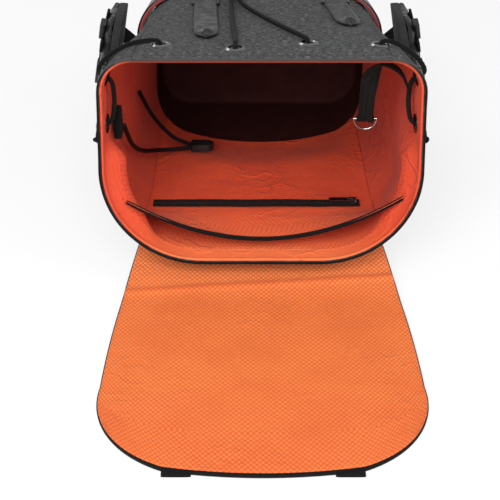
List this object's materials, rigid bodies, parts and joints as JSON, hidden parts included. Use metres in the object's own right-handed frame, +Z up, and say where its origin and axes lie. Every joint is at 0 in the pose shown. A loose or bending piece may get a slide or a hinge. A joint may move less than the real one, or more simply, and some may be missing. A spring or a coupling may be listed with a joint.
{
  "type": "hiking backpack",
  "caption": "Top-opening hiking backpack lying on its back with its lid thrown open, padded straps at its sides, drawcord mouth and lined main compartment.",
  "frame": {"origin": "on the ground under the middle of the back pads' rest face", "axes": "+Y from the mouth towards the base, +Z up off the ground through the front panel, +X to the right as seen from the mouth"},
  "size_m": [0.3957, 0.7881, 0.2467],
  "materials": {
    "heather_cloth": "woven heather grey polyester",
    "orange_ripstop": "orange diamond ripstop lining",
    "dark_lining": "dark brown black lining",
    "black_leather": "smooth black synthetic leather",
    "black_webbing": "black ribbed webbing and binding",
    "mesh_pad": "black air mesh over foam",
    "black_cord": "braided black cord",
    "black_plastic": "moulded black acetal",
    "nickel": "polished nickel",
    "black_metal": "gloss black enamel",
    "zip_fabric": "black coil zip",
    "red_piping": "red edge piping"
  },
  "bodies": {
    "pack": {"back_pads": "mesh_pad", "back_panel": "heather_cloth", "base_board": "black_plastic", "base_panel": "black_leather", "cord_knots": "black_cord", "drawcord_left": "black_cord", "drawcord_right": "black_cord", "eyelet_washers": "nickel", "eyelets": "nickel", "frame_board": "black_plastic", "front_panel": "heather_cloth", "haul_loop": "black_webbing", "key_strap": "black_webbing", "ladder_locks": "black_plastic", "laptop_sleeve": "orange_ripstop", "leash_hook": "black_plastic", "leash_return": "black_cord", "leash_strap": "black_cord", "leash_tab": "black_webbing", "lid_root": "black_leather", "lining": "orange_ripstop", "lower_lining": "dark_lining", "lumbar_pad": "mesh_pad", "pocket_piping": "red_piping", "shoulder_strap_left": "black_leather", "shoulder_strap_right": "black_leather", "side_panel_left": "heather_cloth", "side_panel_right": "heather_cloth", "side_pocket_left": "black_leather", "side_pocket_right": "black_leather", "sleeve_binding": "black_webbing", "sternum_rails": "black_webbing", "strap_patches": "black_leather", "strap_wing_left": "black_leather", "strap_wing_right": "black_leather", "tail_webbing": "black_webbing", "webbing_anchors": "black_leather", "yoke": "black_webbing", "zip_coil": "zip_fabric", "zip_tapes": "zip_fabric"},
    "lid": {"lid_shell": "black_leather", "lid_lining": "orange_ripstop", "lid_binding": "black_webbing"},
    "lid_flap": {"lid_front_shell": "black_leather", "lid_front_lining": "orange_ripstop", "lid_front_binding": "black_webbing", "lid_tabs": "black_leather"},
    "strap_left": {"front_strap_left": "black_leather", "strap_snap_left": "black_metal"},
    "strap_right": {"front_strap_right": "black_leather", "strap_snap_right": "black_metal"},
    "cord_lock": {"lock_barrel": "black_plastic"},
    "lock_button": {"lock_button": "black_plastic"},
    "zip_runner": {"zip_slider": "black_metal"},
    "zip_pull": {"zip_puller": "black_metal"},
    "key_ring": {"key_ring": "nickel"},
    "sternum_left": {"sternum_slider_left": "black_plastic", "sternum_buckle_left": "black_plastic"},
    "sternum_right": {"sternum_slider_right": "black_plastic", "sternum_buckle_right": "black_plastic"}
  },
  "joints": [
    {"name": "lid_lift", "type": "hinge", "parent": "pack", "child": "lid", "pos_m": [0, -0.2702, 0.0066], "axis": [-1, 0, 0], "range_deg": [0, 100]},
    {"name": "lid_fold", "type": "hinge", "parent": "lid", "child": "lid_flap", "pos_m": [0, -0.522, 0.0066], "axis": [-1, 0, 0], "range_deg": [0, 80]},
    {"name": "strap_left_lift", "type": "hinge", "parent": "pack", "child": "strap_left", "pos_m": [-0.061, 0.012, 0.2099], "axis": [-0.9994, -0.0335, 0], "range_deg": [0, 140]},
    {"name": "strap_right_lift", "type": "hinge", "parent": "pack", "child": "strap_right", "pos_m": [0.084, 0.018, 0.2091], "axis": [-0.9953, -0.0969, 0], "range_deg": [0, 140]},
    {"name": "lock_slide", "type": "slide", "parent": "pack", "child": "cord_lock", "axis": [0, -0.9893, 0.1461], "range_m": [0, 0.012]},
    {"name": "lock_press", "type": "slide", "parent": "cord_lock", "child": "lock_button", "axis": [-1, 0, 0], "range_m": [0, 0.003], "stiffness_N_per_m": 300, "springref_m": -0.002},
    {"name": "zip_run", "type": "slide", "parent": "pack", "child": "zip_runner", "axis": [-1, 0, 0], "range_m": [0, 0.195]},
    {"name": "zip_pull_lift", "type": "hinge", "parent": "zip_runner", "child": "zip_pull", "pos_m": [0.0992, -0.155, 0.0528], "axis": [0, 1, 0], "range_deg": [0, 150]},
    {"name": "key_ring_swing", "type": "hinge", "parent": "pack", "child": "key_ring", "pos_m": [0.108, -0.155, 0.1485], "axis": [1, 0, 0], "range_deg": [-60, 60]},
    {"name": "sternum_left_slide", "type": "slide", "parent": "pack", "child": "sternum_left", "axis": [0, 1, 0], "range_m": [-0.03, 0.03]},
    {"name": "sternum_right_slide", "type": "slide", "parent": "pack", "child": "sternum_right", "axis": [0, 1, 0], "range_m": [-0.03, 0.03]}
  ]
}
